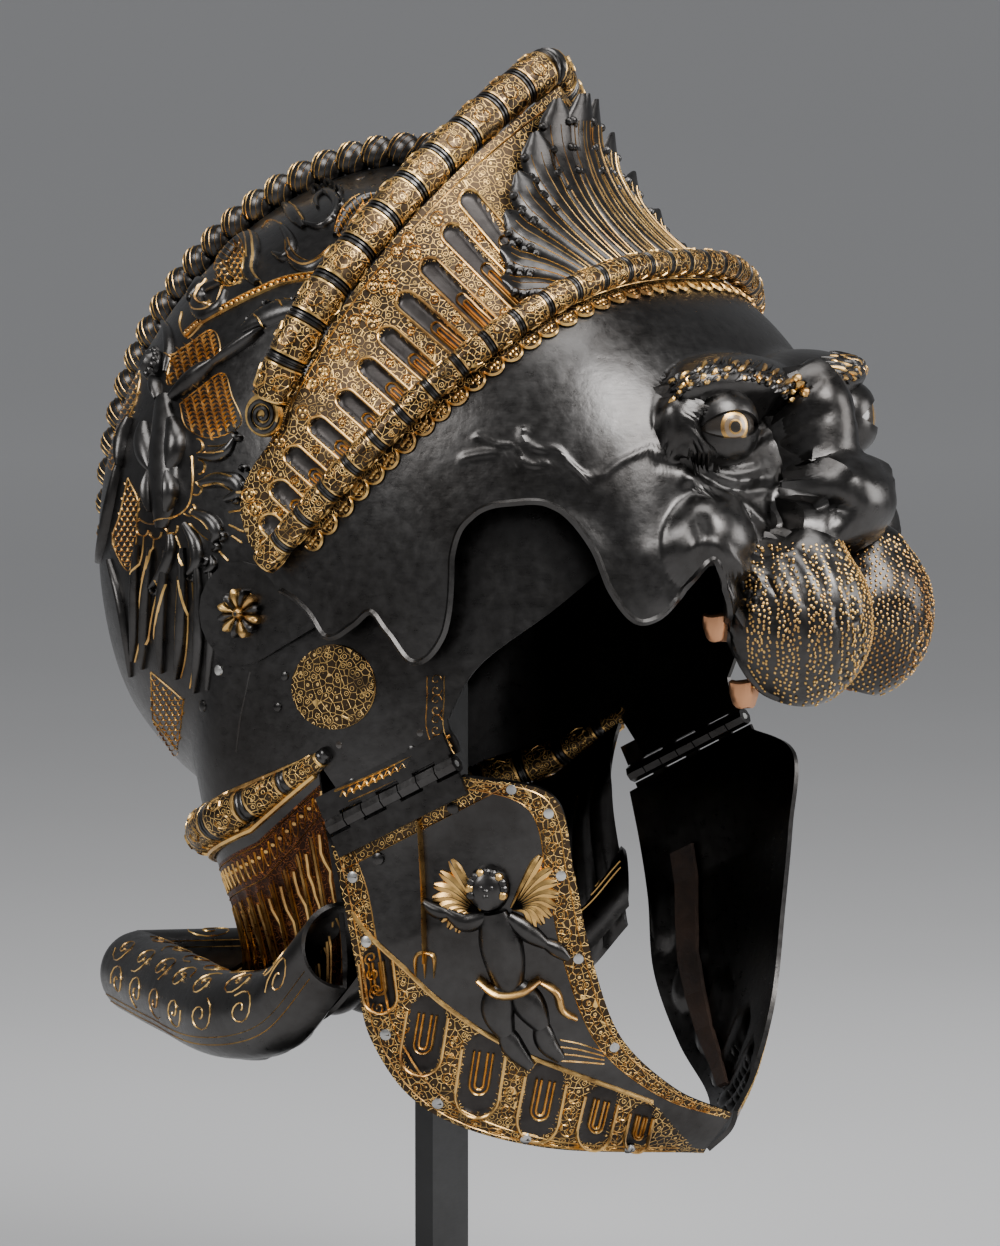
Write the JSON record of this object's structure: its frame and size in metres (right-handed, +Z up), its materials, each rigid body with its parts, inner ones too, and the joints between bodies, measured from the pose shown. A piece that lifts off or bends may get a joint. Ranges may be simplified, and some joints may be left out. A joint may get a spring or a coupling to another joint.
{
  "type": "parade helmet on stand",
  "caption": "Embossed burgonet with a beast-mask visor that turns up, a tall diadem, hinged cheekpieces and a rolled neck guard, held on a plain post stand.",
  "frame": {"origin": "middle of the underside of the stand's foot", "axes": "+Z up, -Y the way the helmet faces, -X the wearer's right"},
  "size_m": [0.2236, 0.3105, 0.4429],
  "materials": {
    "black_steel": "blackened steel, satin, with gold lines laid in",
    "gilt": "fire-gilt steel with dark engraved ground",
    "copper": "copper-red gilt, worn",
    "eye_enamel": "glossy eye with a gold ring and a dark pupil",
    "dark_leather": "old dark leather",
    "stand_black": "plain black paint"
  },
  "bodies": {
    "helmet": {"skull": "black_steel", "crest_rope": "black_steel", "rosette_right": "gilt", "rosette_left": "gilt", "nape_roll": "gilt", "neck_guard": "black_steel", "hinge_right_upper": "black_steel", "hinge_pin_right": "black_steel", "hinge_left_upper": "black_steel", "hinge_pin_left": "black_steel", "stand_foot": "stand_black", "stand_post": "stand_black", "stand_rest": "stand_black"},
    "visor": {"mask": "black_steel", "eye_right": "eye_enamel", "eye_left": "eye_enamel", "tooth_right_rear": "copper", "tooth_right_front": "copper", "tooth_left_rear": "copper", "tooth_left_front": "copper", "diadem": "gilt", "upper_roll": "gilt", "volute_right": "gilt", "volute_left": "gilt", "brow_roll": "gilt", "scalloped_band": "gilt", "palmette": "black_steel", "pivot_arm_right": "black_steel", "pivot_arm_left": "black_steel"},
    "right_cheek": {"cheek_right": "black_steel", "hinge_right_lower": "black_steel"},
    "left_cheek": {"cheek_left": "black_steel", "hinge_left_lower": "black_steel", "lining_strip_left": "dark_leather"}
  },
  "joints": [
    {"name": "visor_pivot", "type": "hinge", "parent": "helmet", "child": "visor", "pos_m": [0, 0.014, 0.263], "axis": [-1, 0, 0], "range_deg": [0, 20]},
    {"name": "right_cheek_hinge", "type": "hinge", "parent": "helmet", "child": "right_cheek", "pos_m": [-0.0935, -0.018, 0.196], "axis": [-0.0385, 0.8957, -0.443], "range_deg": [0, 60]},
    {"name": "left_cheek_hinge", "type": "hinge", "parent": "helmet", "child": "left_cheek", "pos_m": [0.0935, -0.018, 0.196], "axis": [-0.0385, -0.8957, 0.443], "range_deg": [0, 60]}
  ]
}
